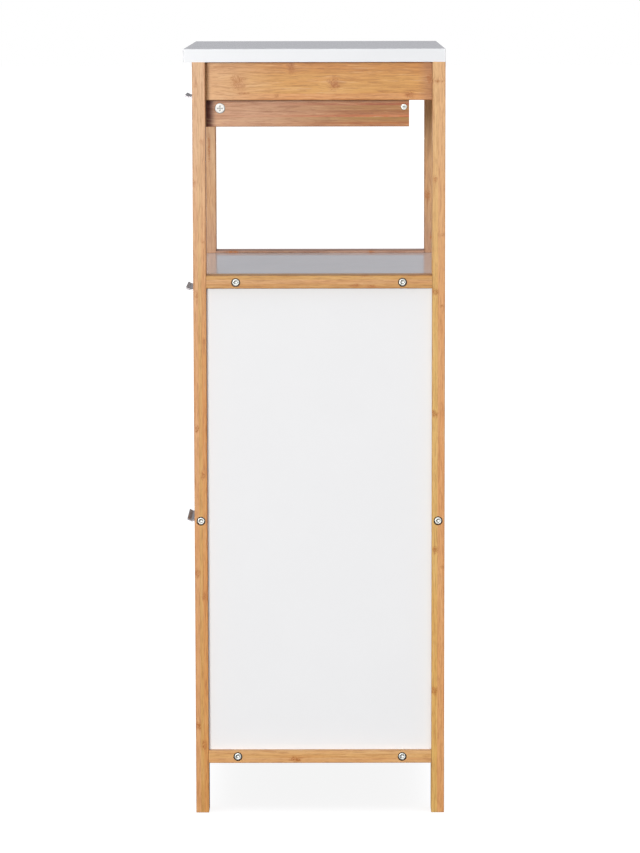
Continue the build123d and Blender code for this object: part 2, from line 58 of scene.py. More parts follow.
def linear(r, g, b):
    """A colour as seen on a screen, 0 to 255, as linear light."""
    shares = [value / 255 for value in (r, g, b)]
    return [s / 12.92 if s <= 0.04045 else ((s + 0.055) / 1.055) ** 2.4 for s in shares]


def seen(r, g, b):
    """The paint that looks like this colour where the studio's light falls on it."""
    return [value / studio_gain for value in linear(r, g, b)] + [1.0]


def darker(colour, share):
    return [value * share for value in colour[:3]] + [1.0]


def feed(links, socket, value):
    """Gives a socket an output or a plain value."""
    if isinstance(value, bpy.types.NodeSocket):
        links.new(value, socket)
    else:
        socket.default_value = value


class Shader:
    """A material under construction: each method adds nodes and returns an output."""

    def __init__(self, name, fixed=()):
        self.material = bpy.data.materials.new(name)
        self.material.use_nodes = True
        self.tree = self.material.node_tree
        self.surface = self.tree.nodes["Principled BSDF"]
        self.set(fixed)

    def set(self, values):
        """Numbers, colours or outputs for the surface's own sockets."""
        for key, value in dict(values).items():
            self.feed(self.surface.inputs[key], value)

    def feed(self, socket, value):
        feed(self.tree.links, socket, value)

    def add(self, kind, inputs=(), output=0, **settings):
        node = self.tree.nodes.new(kind)
        for key, value in settings.items():
            setattr(node, key, value)
        for key, value in dict(inputs).items():
            self.feed(node.inputs[key], value)
        return node.outputs[output]

    def math(self, operation, a, b=0.0):
        return self.add("ShaderNodeMath", {0: a, 1: b}, operation=operation)

    def times(self, a, b):
        return self.math("MULTIPLY", a, b)

    def coordinates(self):
        """Place in the object's own frame, in millimetres."""
        place = self.tree.nodes.new("ShaderNodeTexCoord").outputs["Object"]
        return self.add("ShaderNodeVectorMath", {0: place, "Scale": 1 / mm}, operation="SCALE")

    def split(self, vector):
        node = self.tree.nodes.new("ShaderNodeSeparateXYZ")
        self.feed(node.inputs[0], vector)
        return list(node.outputs)

    def join(self, x, y, z):
        return self.add("ShaderNodeCombineXYZ", {0: x, 1: y, 2: z})

    def scaled(self, *scales):
        """Coordinates in millimetres, times a factor along each axis."""
        parts = self.split(self.coordinates())
        return self.join(*(self.times(value, scale) for value, scale in zip(parts, scales)))

    def noise(self, vector, scale=1.0, detail=2.0, rough=0.5, distortion=0.0):
        inputs = {"Vector": vector, "Scale": scale, "Detail": detail}
        return self.add("ShaderNodeTexNoise", inputs | {"Roughness": rough, "Distortion": distortion})

    def spread(self, value, low, high, to_low=0.0, to_high=1.0, smooth=True):
        """A value between two limits, stretched onto another span."""
        inputs = {"Value": value, "From Min": low, "From Max": high, "To Min": to_low, "To Max": to_high}
        kind = "SMOOTHSTEP" if smooth else "LINEAR"
        return self.add("ShaderNodeMapRange", inputs, interpolation_type=kind)

    def bands(self, factor, stops):
        """Bands of one colour each; stops are (place where a band starts, colour) pairs."""
        node = self.tree.nodes.new("ShaderNodeValToRGB")
        node.color_ramp.interpolation = "CONSTANT"
        elements = node.color_ramp.elements
        elements.remove(elements[1])
        for place, colour in stops[1:]:
            elements.new(place).color = colour
        elements[0].position, elements[0].color = stops[0]
        self.feed(node.inputs[0], factor)
        return node.outputs[0]

    def mix(self, factor, a, b, blend="MIX"):
        inputs = {0: factor, 6: a, 7: b}
        return self.add("ShaderNodeMix", inputs, output=2, data_type="RGBA", blend_type=blend)

    def bump(self, height, distance, strength=1.0):
        """Relief whose height of 1 stands the given distance, in metres, out of the surface."""
        inputs = {"Height": height, "Distance": distance, "Strength": strength}
        self.set({"Normal": self.add("ShaderNodeBump", inputs)})


# Bamboo

gloss_veil = (0.030, 0.055, 0.060)
blackest = 0.004


def wood(r, g, b):
    """Paint that looks like this colour once the surface's own soft gloss lies over it."""
    bare = [max(value - veil, blackest) for value, veil in zip(linear(r, g, b), gloss_veil)]
    return [value / studio_gain for value in bare] + [1.0]


honey = (212, 168, 105)
golden = (217, 175, 108)
orange = (214, 158, 98)
rosy = (217, 166, 116)
pale = (232, 196, 146)
tawny = (206, 156, 96)
strip_tints = (honey, golden, orange, rosy, tawny)
joint_brown = (176, 116, 6)
vessel_brown = (150, 92, 50)
crevice_shade_brown = (84, 42, 16)
crevice = 3.0  # a gap this narrow, in millimetres, counts as one where painted shade gathers
# The drawer's sides reach wider, so the front leg's painted shadow falls on them
crevices = {"drawer_right_side": 11.0, "drawer_left_side": 11.0}
shade_of_fibre = (0.70, 0.56, 0.42, 1.0)
warm_patch = (0.97, 0.86, 0.70, 1.0)
mark_growth = (1.25, 1.2, 1.7)  # what a mark's half length, half width and depth are multiplied by
mark_tone = 0.22  # how strongly a mark tints the wood between its strokes


def knuckle_group():
    """The mark of a bamboo joint at a place, and how far it pushes the fibres aside. Lengths are in
    millimetres."""
    group = bpy.data.node_groups.new("bamboo_joint_mark", "ShaderNodeTree")
    places = ("Along", "Across", "Along at", "Across at")
    for name in places + ("Half length", "Half width", "Depth", "Wave", "Lines"):
        group.interface.new_socket(name, in_out="INPUT", socket_type="NodeSocketFloat")
    for name in ("Mark", "Bend"):
        group.interface.new_socket(name, in_out="OUTPUT", socket_type="NodeSocketFloat")
    nodes, links = group.nodes, group.links
    given = nodes.new("NodeGroupInput").outputs
    results = nodes.new("NodeGroupOutput").inputs

    def calculate(operation, *values):
        node = nodes.new("ShaderNodeMath")
        node.operation = operation
        for socket, value in zip(node.inputs, values):
            feed(links, socket, value)
        return node.outputs[0]

    def times(a, b):
        return calculate("MULTIPLY", a, b)

    def offset(axis, reach):
        return calculate("DIVIDE", calculate("SUBTRACT", given[axis], given[axis + " at"]), given[reach])

    def radius(u, v):
        return calculate("SQRT", calculate("MULTIPLY_ADD", u, u, times(v, v)))

    def fading(distance, edge, core):
        node = nodes.new("ShaderNodeMapRange")
        node.interpolation_type = "SMOOTHSTEP"
        node.inputs["From Min"].default_value = edge
        node.inputs["From Max"].default_value = core
        links.new(distance, node.inputs["Value"])
        return node.outputs[0]

    u, v = offset("Along", "Half length"), offset("Across", "Half width")
    wavy = calculate("ADD", radius(u, v), given["Wave"])
    drawn = calculate("ADD", given["Lines"], mark_tone)
    mark = times(times(fading(wavy, 1.2, 0.2), drawn), given["Depth"])
    reach = fading(radius(times(u, 0.38), times(v, 0.62)), 1.0, 0.0)
    bend = times(times(v, given["Half width"]), times(reach, 0.55))
    links.new(mark, results["Mark"])
    links.new(bend, results["Bend"])
    return group


joint_mark = knuckle_group()


def grown_joints(chance, low, high, strips):
    """Joint marks of a member that the photograph doesn't show: (along, strip, half length, depth)."""
    found = []
    for number in range(strips):
        place = low + chance.uniform(20, 160)
        while place < high:
            found.append((place, number, chance.uniform(4.0, 7.0), chance.uniform(0.35, 0.75)))
            place += chance.uniform(150, 260)
    return found


def bamboo(node, grain, across, strips, joints, fades):
    """Glued strips of bamboo. strips are (share of the width where it starts, tint) pairs; joints are marks,
    or None to draw them by chance, as (along, across, half length, half width, depth) in millimetres; fades
    change the tint along the grain, some as painted sheen or painted shadow, and are (from, to, tint, most)."""
    low, high = (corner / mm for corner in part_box(node))
    chance = random.Random(node)
    depth_axis = x_axis + y_axis + z_axis - grain - across
    shader = Shader("bamboo_" + node, {"Roughness": 0.43, "IOR": 1.48})
    xyz = shader.split(shader.coordinates())
    along, side, deep = xyz[grain], xyz[across], xyz[depth_axis]
    width = high[across] - low[across]
    starts = [low[across] + share * width for share, _ in strips] + [high[across]]

    def stretched(along_scale, across_scale, seed=0.0, aside=side):
        """Coordinates for a noise whose blots are long in the direction of the fibres."""
        lengthwise = shader.math("MULTIPLY_ADD", along, along_scale)
        lengthwise.node.inputs[2].default_value = seed
        start = shader.math("ADD", lengthwise, shift)
        crosswise = [shader.times(value, across_scale) for value in (aside, deep)]
        return shader.join(start, *crosswise)

    share = shader.spread(side, low[across], high[across], smooth=False)
    tint = shader.bands(share, [(s, wood(*colour)) for s, colour in strips])
    key = shader.bands(share, [(s, [chance.random()] * 3 + [1.0]) for s, _ in strips])
    shift = shader.times(key, 310.0)
    if joints is None:
        joints = []
        for place, number, reach, depth in grown_joints(chance, low[grain], high[grain], len(strips)):
            middle = (starts[number] + starts[number + 1]) / 2
            joints.append((place, middle, reach, 0.62 * (starts[number + 1] - starts[number]), depth))
    wobble = shader.spread(shader.noise(stretched(0.16, 0.30), detail=2.0), 0.0, 1.0, -0.8, 0.8, smooth=False)
    strokes = shader.noise(stretched(0.36, 0.26, 5.0), detail=3.0, rough=0.6, distortion=0.8)
    specks = shader.spread(strokes, 0.49, 0.56)
    curls = shader.spread(shader.math("ABSOLUTE", shader.math("SUBTRACT", strokes, 0.43)), 0.045, 0.012)
    drawn = shader.math("MAXIMUM", specks, curls)
    marks, bends = 0.0, 0.0
    for place, middle, reach, half_width, depth in joints:
        group = shader.tree.nodes.new("ShaderNodeGroup")
        group.node_tree = joint_mark
        grown = [size * growth for size, growth in zip((reach, half_width, depth), mark_growth)]
        values = (along, side, place, middle, *grown, wobble, drawn)
        for socket, value in zip(group.inputs, values):
            shader.feed(socket, value)
        marks = shader.math("MAXIMUM", marks, group.outputs["Mark"])
        bends = shader.math("ADD", bends, group.outputs["Bend"])
    drift = shader.spread(shader.noise(stretched(0.008, 0.05), detail=1.0), 0.0, 1.0, -1.8, 1.8, smooth=False)
    aside = shader.math("ADD", shader.math("SUBTRACT", side, bends), drift)
    broad = shader.noise(stretched(0.009, 0.11, 3.1, aside), detail=2.0)
    fibre = shader.noise(stretched(0.020, 0.42, 0.0, aside), detail=4.0, rough=0.72)
    fine = shader.noise(stretched(0.05, 0.62, 7.9, aside), detail=3.0, rough=0.7)
    vessel = shader.noise(stretched(0.075, 2.3, 11.7, aside), detail=1.0)
    patch = shader.times(shader.spread(broad, 0.42, 0.66), 0.75)
    colour = shader.mix(patch, tint, warm_patch, "MULTIPLY")
    # Tints along the grain, among them painted sheen and painted shadow
    for near, far, target, most in fades:
        colour = shader.mix(shader.spread(along, near, far, 0.0, most), colour, wood(*target))
    streak = shader.times(shader.spread(fibre, 0.46, 0.70), 0.58)
    colour = shader.mix(streak, colour, shade_of_fibre, "MULTIPLY")
    thread = shader.times(shader.spread(fine, 0.49, 0.62), 0.60)
    colour = shader.mix(thread, colour, shade_of_fibre, "MULTIPLY")
    light = shader.times(shader.spread(fibre, 0.46, 0.30), 0.42)
    colour = shader.mix(light, colour, wood(*pale))
    dash = shader.times(shader.spread(vessel, 0.62, 0.74), 0.40)
    colour = shader.mix(dash, colour, wood(*vessel_brown))
    colour = shader.mix(marks, colour, wood(*joint_brown))
    edge = corner_line(shader, (side, low[across], high[across]), (deep, low[depth_axis], high[depth_axis]))
    colour = shader.mix(shader.times(edge, 0.22), colour, wood(*vessel_brown))
    # Painted shade: the wood turns a deep brown where other surfaces close in on it
    gap = crevices.get(node, crevice) * mm
    open_sky = shader.add("ShaderNodeAmbientOcclusion", {"Distance": gap}, "AO", samples=4)
    colour = shader.mix(shader.spread(open_sky, 0.76, 0.34, 0.0, 0.70), colour, wood(*crevice_shade_brown))
    height = shader.math("SUBTRACT", fibre, shader.times(dash, 0.8))
    shader.bump(height, 0.06 * mm, 0.6)
    shader.set({"Base Color": colour, "Roughness": shader.spread(fibre, 0.3, 0.7, 0.38, 0.5)})
    return shader.material


def corner_line(shader, *spans):
    """1 along the long corners of a bar, fading out within a millimetre on both faces."""
    gaps = []
    for value, low, high in spans:
        middle, half = (low + high) / 2, (high - low) / 2
        offset = shader.math("ABSOLUTE", shader.math("SUBTRACT", value, middle))
        gaps.append(shader.math("SUBTRACT", half, offset))
    return shader.spread(shader.math("MAXIMUM", *gaps), 1.5, 0.5)


def strips_of(node, shares):
    """Tints for a member, drawn with a seed of its own."""
    chance = random.Random("tint " + node)
    return [(share, chance.choice(strip_tints)) for share in shares]


def paint(node, material):
    """Gives a node of the frame, and all its slots, one material."""
    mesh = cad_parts[node].data
    if not mesh.materials:
        mesh.materials.append(material)
    for number in range(len(mesh.materials)):
        mesh.materials[number] = material


front_leg_joints = [
    (849, -133.5, 4.0, 2.2, 0.25),
    (785, -127.5, 3.5, 2.6, 0.22),
    (737, -135.5, 4.5, 2.4, 0.35),
    (670, -125.5, 3.5, 2.4, 0.30),
    (607, -133.8, 6.0, 2.2, 0.34),
    (554, -126.0, 4.5, 2.4, 0.30),
    (453, -134.0, 4.6, 2.8, 0.62),
    (399, -127.2, 5.2, 2.8, 0.50),
    (284, -134.6, 5.0, 2.9, 0.66),
    (257, -126.4, 5.0, 3.0, 0.56),
    (103, -134.6, 5.4, 2.9, 0.70),
    (80, -128.0, 6.0, 3.0, 0.48),
]
rear_leg_joints = [
    (853, 144.0, 1.6, 8.0, 0.40),
    (741, 140.5, 3.8, 3.0, 0.34),
    (677, 148.5, 2.2, 3.0, 0.30),
    (612, 141.0, 3.6, 4.2, 0.50),
    (595, 149.5, 1.6, 3.4, 0.40),
    (470, 141.0, 3.6, 4.0, 0.50),
    (311, 141.2, 4.4, 3.8, 0.58),
    (291, 150.0, 1.6, 3.0, 0.40),
    (145, 141.0, 4.4, 3.8, 0.55),
]
top_rail_joints = [
    (-85, 850.9, 9.0, 9.5, 0.40),
    (-79, 838.8, 9.0, 1.5, 0.42),
    (-24, 867.1, 4.5, 7.0, 0.60),
    (25, 850.7, 6.5, 8.0, 0.62),
    (-41, 836.2, 5.0, 2.2, 0.50),
    (112, 838.3, 6.0, 4.5, 0.55),
    (134, 856.1, 2.5, 5.0, 0.60),
]
mid_rail_joints = [(49, 619.0, 5.0, 2.6, 0.50), (67, 618.0, 5.5, 1.8, 0.46), (60, 629.5, 5.0, 1.6, 0.34)]
bottom_rail_joints = [(-21, 63.5, 6.5, 3.4, 0.62)]

drawer_brown = (186, 134, 92)
drawer_red = (187, 123, 84)
drawer_olive = (180, 135, 86)
drawer_orange = (185, 127, 78)
drawer_tints = (drawer_brown, drawer_red, drawer_olive, drawer_orange)
drawer_lines = {1: (182, 122, 72), 3: (174, 136, 80), 4: (194, 118, 76), 6: (166, 114, 72), 9: (180, 114, 78)}
narrow = tuple(number / 13 for number in range(13))
slats = 26
drawer_strips = []
for number in range(slats):
    usual = drawer_tints[(number * 3 + number // 4) % len(drawer_tints)]
    drawer_strips.append((number / slats, drawer_lines.get(number, usual)))
member_strips = {
    "right_front_leg": [(0.0, rosy), (0.38, honey), (0.64, orange)],
    "right_rear_leg": [(0.0, (221, 182, 113)), (0.45, (221, 168, 115))],
    "right_top_rail": [(0.0, (218, 161, 104)), (0.17, (216, 164, 98)), (0.68, (211, 156, 92))],
    "right_mid_rail": [(0.0, (205, 158, 100)), (0.36, (213, 167, 116)), (0.68, honey)],
    "right_bottom_rail": [(0.0, (222, 176, 124)), (0.40, (219, 173, 116)), (0.72, (224, 182, 130))],
    "left_front_leg": [(0.0, (202, 160, 134)), (0.22, (212, 172, 130))],
    "left_rear_leg": [(0.0, (203, 162, 118)), (0.5, (206, 160, 112))],
    "left_mid_rail": [(0.0, (184, 152, 132)), (0.5, (178, 146, 126))],
    "drawer_right_side": drawer_strips,
    "drawer_left_side": drawer_strips,
}
member_joints = {
    "right_front_leg": front_leg_joints,
    "right_rear_leg": rear_leg_joints,
    "right_top_rail": top_rail_joints,
    "right_mid_rail": mid_rail_joints,
    "right_bottom_rail": bottom_rail_joints,
    "left_front_leg": [(757, -130.7, 16.0, 1.8, 0.50)],
    "drawer_right_side": [],
    "drawer_left_side": [],
}
# Painted light on the drawer's sides: their paler front end is a painted sheen of the key light, and the dark
# band at the very front is the front leg's painted shadow
drawer_painted_light = [(90, -100, (206, 163, 130), 0.9), (-112, -119, (112, 62, 28), 0.75)]
member_fades = {
    # Painted sheen of the key light: the near legs grow paler towards their tops, and the top rail towards
    # its front end
    "right_front_leg": [(500, 860, (224, 186, 148), 0.85)],
    "right_rear_leg": [(560, 860, (228, 186, 138), 0.8)],
    # The top rail's second fade darkens its rear end: the rear leg's painted shadow
    "right_top_rail": [(-20, -120, (221, 177, 131), 0.85), (119, 133, (188, 140, 100), 0.75)],
    "drawer_right_side": drawer_painted_light,
    "drawer_left_side": drawer_painted_light,
    "left_front_leg": [(700, 640, (190, 152, 124), 0.7)],
    "left_rear_leg": [(700, 640, (180, 144, 120), 0.7)],
}

thirds = (0.0, 0.34, 0.67)
legs = [side + end for side in ("right_", "left_") for end in ("front_leg", "rear_leg")]
bars = [side + rail for side in ("right_", "left_") for rail in ("mid_rail", "bottom_rail", "drawer_runner")]


def bamboo_members():
    """Every bamboo piece with the direction of its grain and the axis that its strips are counted along."""
    for node in legs:
        yield node, z_axis, y_axis, thirds
    for node in bars:
        yield node, y_axis, z_axis, thirds
    for node in ("right_top_rail", "left_top_rail"):
        yield node, y_axis, z_axis, (0.0, 0.30, 0.72)
    for node in ("front_crossbar", "rear_crossbar"):
        yield node, x_axis, z_axis, thirds
    yield "drawer_back", x_axis, z_axis, narrow
    for node in ("drawer_right_side", "drawer_left_side"):
        yield node, y_axis, z_axis, ()
    for hamper in hampers:
        for stay in ("_right_stay", "_left_stay"):
            yield hamper + stay, z_axis, y_axis, narrow


for node, grain, across, shares in bamboo_members():
    strips = member_strips.get(node) or strips_of(node, shares)
    paint(node, bamboo(node, grain, across, strips, member_joints.get(node), member_fades.get(node, ())))

# White boards


def white_board(name, colour, roughness, coat):
    """White board, lacquered where it has a coat: a faint orange peel and a slightly uneven sheen."""
    shader = Shader(name, {"Coat Weight": coat, "Coat Roughness": 0.045, "IOR": 1.46})
    place = shader.coordinates()
    cloud = shader.noise(place, 0.012, 3.0)
    peel = shader.noise(place, 0.2, 2.0, 0.6)
    base = seen(*colour)
    shader.set({"Base Color": shader.mix(shader.spread(cloud, 0.35, 0.65), darker(base, 0.992), base)})
    shader.set({"Roughness": shader.spread(cloud, 0.3, 0.7, roughness - 0.01, roughness + 0.01)})
    shader.bump(peel, 0.006 * mm, 0.5)
    return shader.material


lacquer = white_board("white_lacquer", (238, 239, 240), 0.24, 0.9)
# The shelves' lacquer is a greyer, less glossy copy of the white lacquer: its grey is painted shade from
# inside the cabinet
shaded_shelf_lacquer = white_board("shaded_shelf_lacquer", (225, 225, 226), 0.26, 0.62)
melamine = white_board("white_panel", (234, 234, 234), 0.52, 0.0)
shelves = ("mid_shelf", "bottom_shelf")
lacquered_boards = ("top_board", "drawer_front", "upper_hamper_front", "lower_hamper_front") + shelves
for node in lacquered_boards:
    paint(node, shaded_shelf_lacquer if node in shelves else lacquer)
for node in ("right_side_panel", "left_side_panel", "upper_back_panel", "lower_back_panel", "drawer_bottom"):
    paint(node, melamine)

# Metal and plastic


def metal(name, colour, roughness, brush=None, hollow=1.4):
    """Bright or satin metal, with painted shade that leaves it dull and dark in its recesses. brush is the
    axis that its fine lines follow, and hollow the size in millimetres of a recess that counts as one."""
    uneven = 0.08
    shader = Shader(name, {"Metallic": 1.0})
    scales = [3.0, 3.0, 3.0]
    if brush is not None:
        scales[brush] = 0.12
    lines = shader.noise(shader.scaled(*scales), 2.0, 3.0, 0.6)
    bright = shader.mix(lines, darker(linear(*colour), 0.8), linear(*colour) + [1.0])
    # Painted shade: recesses turn dark, dull and less metallic
    open_sky = shader.add("ShaderNodeAmbientOcclusion", {"Distance": hollow * mm}, "AO", samples=8)
    recess_shade = shader.spread(open_sky, 0.86, 0.45)
    shader.set({"Base Color": shader.mix(recess_shade, bright, linear(52, 48, 44) + [1.0])})
    shader.set({"Metallic": shader.math("SUBTRACT", 1.0, recess_shade)})
    uneven_gloss = shader.spread(lines, 0.3, 0.7, roughness - uneven, roughness + uneven)
    shader.set({"Roughness": shader.math("MAXIMUM", uneven_gloss, shader.times(recess_shade, 0.7))})
    shader.bump(lines, 0.015 * mm, 0.4)
    return shader.material


zinc = metal("zinc_plated_steel", (203, 204, 199), 0.50)
cam_alloy = metal("cam_alloy", (199, 199, 195), 0.55, hollow=1.0)
nickel = metal("dark_satin_metal", (142, 138, 140), 0.34, brush=x_axis)
steel = metal("bright_steel", (200, 200, 202), 0.22, brush=x_axis)


def plastic(name, colour, roughness):
    """Moulded plastic with a fine grain."""
    shader = Shader(name, {"IOR": 1.5})
    grain = shader.noise(shader.coordinates(), 0.8, 3.0, 0.6)
    base = seen(*colour)
    shader.set({"Base Color": shader.mix(grain, darker(base, 0.94), base)})
    shader.set({"Roughness": shader.spread(grain, 0.3, 0.7, roughness - 0.05, roughness + 0.05)})
    shader.bump(grain, 0.03 * mm, 0.5)
    return shader.material


def beech():
    """Turned beech: straight pale grain with short dark flecks."""
    shader = Shader("beech", {"Roughness": 0.55})
    stretched = shader.scaled(0.7, 0.06, 0.7)
    grain = shader.noise(stretched, 1.0, 4.0, 0.6)
    fleck = shader.spread(shader.noise(stretched, 4.0, 1.0), 0.62, 0.72)
    colour = shader.mix(grain, seen(222, 186, 143), seen(201, 156, 108))
    shader.set({"Base Color": shader.mix(shader.times(fleck, 0.5), colour, seen(150, 100, 62))})
    shader.bump(grain, 0.05 * mm)
    return shader.material


for node in ("barrel_nuts", "top_cam_bolts", "cabinet_screws", "drawer_cam_bolts"):
    paint(node, zinc)
paint("top_cam_locks", cam_alloy)
paint("hinge_pins", steel)
paint("wood_dowels", beech())
paint("magnetic_catches", plastic("catch_plastic", (228, 227, 222), 0.42))
nylon = plastic("nylon", (232, 230, 224), 0.36)
paint("drawer_pull", nickel)
for hamper in hampers:
    for part in ("_cam_bolts", "_strike_plate", "_screws"):
        paint(hamper + part, zinc)
    paint(hamper + "_pull", nickel)
    paint(hamper + "_rods", steel)
    paint(hamper + "_bushes", nylon)

# Meshes


def new_object(name, data):
    made = bpy.data.objects.new(name, data)
    bpy.context.scene.collection.objects.link(made)
    return made


def new_mesh(name, vertices, faces, material=None, smooth=False):
    """A mesh object; its vertices are in metres."""
    mesh = bpy.data.meshes.new(name)
    mesh.from_pydata([tuple(vertex) for vertex in vertices], [], faces)
    mesh.update()
    if smooth:
        mesh.shade_smooth()
    else:
        mesh.shade_flat()
    if material:
        mesh.materials.append(material)
    return new_object(name, mesh)


def cap(start, count, outward):
    """One face over a ring of vertices."""
    ring = list(range(start, start + count))
    return tuple(ring if outward else reversed(ring))


def skin(rings, first):
    """Faces that join rings of equal length, one after the other, with closed ends; first is the first
    vertex's number."""
    count = len(rings[0])
    faces = []
    for number in range(len(rings) - 1):
        base = first + number * count
        for side in range(count):
            after = (side + 1) % count
            faces.append((base + side, base + after, base + count + after, base + count + side))
    faces.append(cap(first, count, False))
    faces.append(cap(first + (len(rings) - 1) * count, count, True))
    return faces


def add_rings(vertices, faces, rings):
    """Adds the skin of some rings, which are in millimetres, to a mesh under construction."""
    faces += skin(rings, len(vertices))
    vertices += [point * mm for ring in rings for point in ring]


# Turned metal: bolts, cams and screws, with bevelled rims and with the recesses that a key or a driver fits

ring_points = 72
head_sink = 0.6  # a bolt's face lies this far inside its counterbore
cam_radius = 6.0
drawer_screw_heights = (822.5, 858.0)
pull_screw_offset = 32.0
pull_screw_rise = 5.5  # above the pull's lower edge


def circle(size, angle):
    return size


def hexagon(size, angle):
    """Distance to a hexagon that is given by half its width across flats."""
    sector = math.radians(60)
    return size / math.cos((angle % sector) - sector / 2)


def cross(arm_width):
    """An outline whose size is the reach of its four arms."""

    def outline(size, angle):
        quarter = math.radians(90)
        turned = min(angle % quarter, quarter - angle % quarter)
        return min(size / math.cos(turned), arm_width / 2 / max(math.sin(turned), 0.001))

    return outline


cam_cross, screw_cross = cross(1.4), cross(0.9)

# Profiles run from a recess's bottom over the face to the far end: (depth, size, outline if not a circle)
bolt_profile = [
    (2.9, 0.15),
    (2.4, 1.95, hexagon),
    (0.45, 2.0, hexagon),
    (0.18, 2.12, hexagon),
    (0.02, 2.6),
    (0.0, 2.9),
    (0.04, 3.5),
    (0.16, 3.9),
    (0.42, 4.22),
    (0.85, 4.4),
    (3.7, 4.4),
    (4.0, 4.1),
    (4.0, 3.0),
    (55.0, 3.0),
    (56.0, 2.2),
]
cam_profile = [
    (2.3, 0.12),
    (1.5, 0.6),
    (1.5, 2.9, cam_cross),
    (0.25, 3.0, cam_cross),
    (0.0, 3.2, cam_cross),
    (0.0, 4.2),
    (0.02, 5.35),
    (0.14, 5.7),
    (0.5, 5.78),
    (1.2, 5.78),
    (1.2, cam_radius),
    (9.0, cam_radius),
]
countersunk_profile = [
    (1.3, 0.1),
    (1.0, 0.3),
    (1.0, 1.85, screw_cross),
    (0.15, 1.95, screw_cross),
    (0.0, 2.1, screw_cross),
    (0.0, 2.6),
    (0.03, 3.15),
    (0.12, 3.4),
    (0.4, 3.4),
    (2.0, 1.8),
    (32.5, 1.8),
    (34.0, 0.3),
]
pan_profile = [
    (1.3, 0.1),
    (1.0, 0.3),
    (1.0, 1.95, screw_cross),
    (0.15, 2.05, screw_cross),
    (0.0, 2.2, screw_cross),
    (0.02, 2.7),
    (0.25, 3.35),
    (0.8, 3.85),
    (1.4, 4.0),
    (2.4, 4.0),
    (2.4, 2.0),
    (20.0, 2.0),
]


def turned(face, axis, profile):
    """Rings of a piece whose face has its middle at a place, in millimetres, and looks along an axis."""
    upright = Vector((0, 0, 1))
    level = Vector((0, 1, 0)) if axis.x else Vector((1, 0, 0))
    way = 1 if level.cross(upright).dot(axis) > 0 else -1
    rings = []
    for depth, size, *shape in profile:
        outline = shape[0] if shape else circle
        ring = []
        for number in range(ring_points):
            angle = way * 2 * math.pi * number / ring_points
            reach = outline(size, angle)
            spoke = level * reach * math.cos(angle) + upright * reach * math.sin(angle)
            ring.append(face - axis * depth + spoke)
        rings.append(ring)
    return rings


def middle_of(node):
    low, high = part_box(node)
    return (low + high) / 2 / mm


def sideways(x, y, z, profile):
    """A piece in the right side and its mirror image in the left one."""
    for side in (1, -1):
        yield turned(Vector((side * x, y, z)), Vector((side, 0, 0)), profile)


def bolts():
    """Middle and floor rails hold two bolts each, and each leg holds one at the height of the crossbars."""
    half_spacing, mid_drop = 96.0, 0.5
    face_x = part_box("right_mid_rail")[1].x / mm - head_sink
    places = []
    for rail, drop in (("right_mid_rail", mid_drop), ("right_bottom_rail", 0.0)):
        middle = middle_of(rail)
        places += [(middle.y + way * half_spacing, middle.z - drop) for way in (-1, 1)]
    places += [middle_of(bar).yz for bar in ("front_crossbar", "rear_crossbar")]
    return [rings for y, z in places for rings in sideways(face_x, y, z, bolt_profile)]


def cams(node):
    """An upper and a lower cam on each side, with their faces outwards."""
    low, high = (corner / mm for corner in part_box(node))
    heights = (low.z + cam_radius, high.z - cam_radius)
    return [rings for z in heights for rings in sideways(high.x, middle_of(node).y, z, cam_profile)]


def drawer_screws():
    """Countersunk screws through the sides into the back, and pan heads behind the pull."""
    face_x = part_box("drawer_right_side")[1].x / mm
    made = [
        rings for z in drawer_screw_heights
        for rings in sideways(face_x, middle_of("drawer_back").y, z, countersunk_profile)
    ]
    head_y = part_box("drawer_front")[1].y / mm + 2.4
    head_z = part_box("drawer_pull")[0].z / mm + pull_screw_rise
    for x in (-pull_screw_offset, pull_screw_offset):
        made.append(turned(Vector((x, head_y, head_z)), Vector((0, 1, 0)), pan_profile))
    return made


def metal_pieces(node, pieces, body, material):
    """One object, in place of a node, from the rings of all its pieces."""
    vertices, faces = [], []
    for rings in pieces:
        add_rings(vertices, faces, rings)
    made = new_mesh("turned_" + node, vertices, faces, material, smooth=True)
    sharp = made.modifiers.new("crisp_edges", "EDGE_SPLIT")
    sharp.split_angle = math.radians(38)
    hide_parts(node)
    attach(made, body)


metal_pieces("frame_bolts", bolts(), "cabinet", zinc)
metal_pieces("drawer_screws", drawer_screws(), "drawer", zinc)
for body in ("drawer", *hampers):
    metal_pieces(body + "_cam_locks", cams(body + "_cam_locks"), body, cam_alloy)

# Cloth bags: one shell, sewn at the corners, that hangs on the two rods by tunnel hems

cloth = 1.1
rod_radius = 4.0
hem_radius = rod_radius + 0.35 + cloth / 2
hem_drop = 15.0  # from a rod's axis down to the stitching under it
flap = 3.0  # the hem's folded edge hangs this far below its stitching
seam_x = 147.2  # half the bag's width, at its corner seams
corner_radius = 12.0
columns = 58
wall_rows = 22
floor_rows = 24
lip_sag = 13.0  # the middle of a side's open edge hangs this far below a straight line
floor_lift = 3.4  # room for the floor's folds over the plain solid's underside
stitch_pitch = 3.4
stitch_share = 0.68  # of the pitch that a stitch fills


